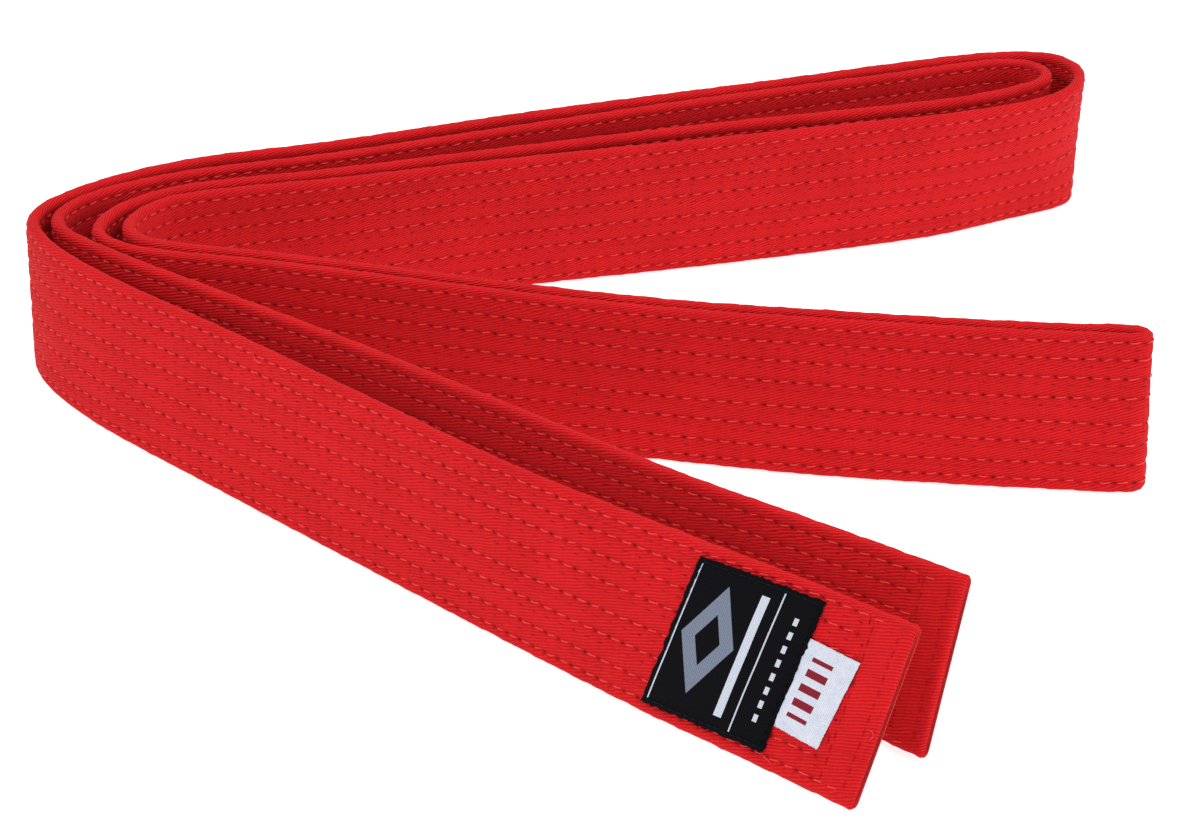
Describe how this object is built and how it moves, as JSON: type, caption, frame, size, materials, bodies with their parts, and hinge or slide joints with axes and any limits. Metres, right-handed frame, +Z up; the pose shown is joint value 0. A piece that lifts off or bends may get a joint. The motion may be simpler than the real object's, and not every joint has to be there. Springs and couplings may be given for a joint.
{
  "type": "martial arts belt",
  "caption": "Red padded cotton martial arts belt with lengthwise stitching and woven labels, folded in a zigzag and standing on its edge.",
  "frame": {"origin": "middle of the folded belt's footprint, on the surface that it stands on", "axes": "+Z up across the strap's width; +Y along the long side of the footprint, away from the two loose ends; +X towards the doubled end"},
  "size_m": [0.2804, 0.3546, 0.0401],
  "materials": {
    "red_twill": "matt cotton twill",
    "red_thread": "slightly glossy sewing thread",
    "core_padding": "unbleached cotton padding",
    "label_black": "woven satin label",
    "label_white": "woven label",
    "label_thread": "sewing thread"
  },
  "bodies": {
    "folded_bundle": {"cover_outer_loop": "red_twill", "core_outer_loop": "core_padding", "stitch_row_1_outer_loop": "red_thread", "stitch_row_2_outer_loop": "red_thread", "stitch_row_3_outer_loop": "red_thread", "stitch_row_4_outer_loop": "red_thread", "stitch_row_5_outer_loop": "red_thread", "stitch_row_6_outer_loop": "red_thread", "stitch_row_7_outer_loop": "red_thread", "stitch_row_8_outer_loop": "red_thread", "cover_inner_loop": "red_twill", "core_inner_loop": "core_padding", "stitch_row_1_inner_loop": "red_thread", "stitch_row_2_inner_loop": "red_thread", "stitch_row_3_inner_loop": "red_thread", "stitch_row_4_inner_loop": "red_thread", "stitch_row_5_inner_loop": "red_thread", "stitch_row_6_inner_loop": "red_thread", "stitch_row_7_inner_loop": "red_thread", "stitch_row_8_inner_loop": "red_thread"},
    "front_end": {"cover_front_end": "red_twill", "core_front_end": "core_padding", "stitch_row_1_front_end": "red_thread", "stitch_row_2_front_end": "red_thread", "stitch_row_3_front_end": "red_thread", "stitch_row_4_front_end": "red_thread", "stitch_row_5_front_end": "red_thread", "stitch_row_6_front_end": "red_thread", "stitch_row_7_front_end": "red_thread", "stitch_row_8_front_end": "red_thread", "woven_label": "label_black", "size_label": "label_white", "label_stitch": "label_thread", "hem_stitch_front_end": "red_thread"},
    "doubled_end": {"cover_doubled_end": "red_twill", "core_doubled_end": "core_padding", "stitch_row_1_doubled_end": "red_thread", "stitch_row_2_doubled_end": "red_thread", "stitch_row_3_doubled_end": "red_thread", "stitch_row_4_doubled_end": "red_thread", "stitch_row_5_doubled_end": "red_thread", "stitch_row_6_doubled_end": "red_thread", "stitch_row_7_doubled_end": "red_thread", "stitch_row_8_doubled_end": "red_thread"},
    "second_end": {"cover_second_end": "red_twill", "core_second_end": "core_padding", "stitch_row_1_second_end": "red_thread", "stitch_row_2_second_end": "red_thread", "stitch_row_3_second_end": "red_thread", "stitch_row_4_second_end": "red_thread", "stitch_row_5_second_end": "red_thread", "stitch_row_6_second_end": "red_thread", "stitch_row_7_second_end": "red_thread", "stitch_row_8_second_end": "red_thread", "hem_stitch_second_end": "red_thread"}
  },
  "joints": [
    {"name": "front_end_swing", "type": "hinge", "parent": "folded_bundle", "child": "front_end", "pos_m": [-0.13458, 0.03724, 0], "axis": [0, 0, 1], "range_deg": [-24, 1.5]},
    {"name": "doubled_end_swing", "type": "hinge", "parent": "folded_bundle", "child": "doubled_end", "pos_m": [-0.10263, 0.02979, 0], "axis": [0, 0, 1], "range_deg": [-5, 8]},
    {"name": "second_end_swing", "type": "hinge", "parent": "folded_bundle", "child": "second_end", "pos_m": [-0.11338, 0.02354, 0], "axis": [0, 0, 1], "range_deg": [-1.5, 12]}
  ]
}
